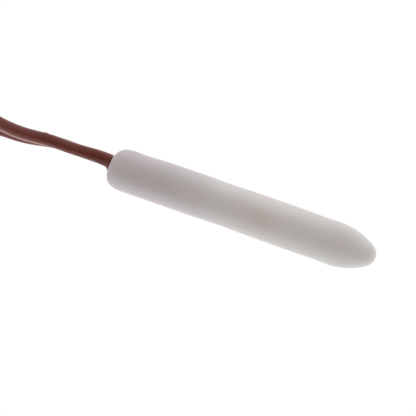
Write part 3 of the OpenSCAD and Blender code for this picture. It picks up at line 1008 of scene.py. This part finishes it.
def white_tie():
    m = Nodes("tie_white")
    paper = m.noise(m.place((1, 1, 1)), 2600, 4.0, 0.6)
    crease = m.noise(m.place((0.5, 2.2, 2.2)), 900, 2.0, 0.5, 0.4)
    colour = m.mix(m.span(paper, 0.35, 0.7, 0.0, 1.0), (0.80, 0.80, 0.79), (0.70, 0.70, 0.70))
    n1 = m.bump(crease, 0.00006, 0.6)
    n2 = m.bump(paper, 0.000015, 0.5, n1)
    m.shader(Base_Color=colour, Roughness=m.span(crease, 0.3, 0.7, 0.38, 0.55), Normal=n2)
    return m.mat


def wire_way(m, scale):
    return m.along(scale)


def straight_way(m, scale):
    # the straight stretches inside lie along X
    return m.place((scale[2], scale[0], scale[1]))


lead_mat = brown_pvc("lead_brown", wire_way, near_exit=True)
inner_lead_mat = brown_pvc("lead_brown_inner", straight_way)
strand_mat = metal("tinned_strands", (0.66, 0.64, 0.61), (0.48, 0.46, 0.43), 0.30, wire_way, 5200, (1, 1, 0.08))
wire_mat = metal("tinned_wire", (0.66, 0.64, 0.61), (0.50, 0.48, 0.45), 0.30, None, 5200, (0.08, 1, 1))
film_mat = metal("silver_film", (0.82, 0.80, 0.76), (0.70, 0.68, 0.64), 0.36, None, 16000)
solder_mat = metal("solder", (0.60, 0.60, 0.60), (0.42, 0.42, 0.43), 0.26, None, 5200)
shell_mat, fill_mat, ceramic_mat = white_shell(), resin_fill(), ceramic()
bead_mat, sleeve_mat, tie_mat = black_resin(), black_sleeve(), white_tie()


def finish_with(obj, material):
    obj.data.materials.clear()
    obj.data.materials.append(material)
    obj.data.polygons.foreach_set("material_index", [0] * len(obj.data.polygons))


for piece, material in (
    (wire_a, lead_mat), (wire_b, lead_mat), (strands_a, strand_mat), (strands_b, strand_mat),
    (shell, shell_mat), (fill, fill_mat), (tie, tie_mat),
):
    finish_with(piece, material)

CAD_FINISH = {
    "thermistor_chip": ceramic_mat, "electrode_upper": film_mat, "electrode_lower": film_mat,
    "solder_upper": solder_mat, "solder_lower": solder_mat, "resin_bead": bead_mat,
    "fine_wire_a": wire_mat, "fine_wire_b": wire_mat, "ferrule_a": wire_mat, "ferrule_b": wire_mat,
    "sleeve_a": sleeve_mat, "sleeve_b": sleeve_mat, "conductor_a": wire_mat, "conductor_b": wire_mat,
    "inner_lead_a": inner_lead_mat, "inner_lead_b": inner_lead_mat,
}
for node, material in CAD_FINISH.items():
    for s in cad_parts[node].material_slots:
        s.material = material

# ------------------------------------------------------------ floor and light

floor_mesh = bpy.data.meshes.new("floor")
floor_mesh.from_pydata([(-3, -3, 0), (3, -3, 0), (3, 3, 0), (-3, 3, 0)], [], [(0, 1, 2, 3)])
floor = bpy.data.objects.new("floor", floor_mesh)
floor.location = (0, 0, -0.00002)
scene.collection.objects.link(floor)
fm = Nodes("floor_white")
fm.shader(Base_Color=(0.0, 0.0, 0.0, 1.0), Roughness=0.9)
fm.bsdf.inputs["Specular IOR Level"].default_value = 0.0
fm.bsdf.inputs["Emission Color"].default_value = (1.0, 1.0, 1.0, 1.0)
fm.bsdf.inputs["Emission Strength"].default_value = 1.01
floor_mesh.materials.append(fm.mat)

# soft light all round, strongest from behind and above the probe
world = bpy.data.worlds.new("soft_room")
scene.world = world
world.use_nodes = True
wt = world.node_tree
wt.nodes.clear()
w_out = wt.nodes.new("ShaderNodeOutputWorld")
w_bg = wt.nodes.new("ShaderNodeBackground")
w_tc = wt.nodes.new("ShaderNodeTexCoord")
w_dot = wt.nodes.new("ShaderNodeVectorMath")
w_dot.operation = "DOT_PRODUCT"
w_dot.inputs[1].default_value = (0.0, 0.90, 0.436)
w_map = wt.nodes.new("ShaderNodeMapRange")
w_map.inputs["From Min"].default_value = -1.0
w_map.inputs["From Max"].default_value = 1.0
w_map.inputs["To Min"].default_value = 0.02
w_map.inputs["To Max"].default_value = 0.95
w_map.clamp = True
wt.links.new(w_tc.outputs["Generated"], w_dot.inputs[0])
wt.links.new(w_dot.outputs["Value"], w_map.inputs["Value"])
wt.links.new(w_map.outputs["Result"], w_bg.inputs["Strength"])
w_mix = wt.nodes.new("ShaderNodeMix")
w_mix.data_type = "RGBA"
w_mix.inputs[6].default_value = (1.0, 0.93, 0.93, 1.0)
w_mix.inputs[7].default_value = (1.0, 1.0, 1.0, 1.0)
w_part = wt.nodes.new("ShaderNodeMapRange")
w_part.inputs["From Min"].default_value = -1.0
w_part.inputs["From Max"].default_value = 1.0
wt.links.new(w_dot.outputs["Value"], w_part.inputs["Value"])
wt.links.new(w_part.outputs["Result"], w_mix.inputs[0])
wt.links.new(w_mix.outputs[2], w_bg.inputs["Color"])
wt.links.new(w_bg.outputs["Background"], w_out.inputs["Surface"])

scene.view_settings.view_transform = "Standard"
scene.view_settings.look = "None"
scene.view_settings.exposure = 0.0
scene.view_settings.gamma = 1.0
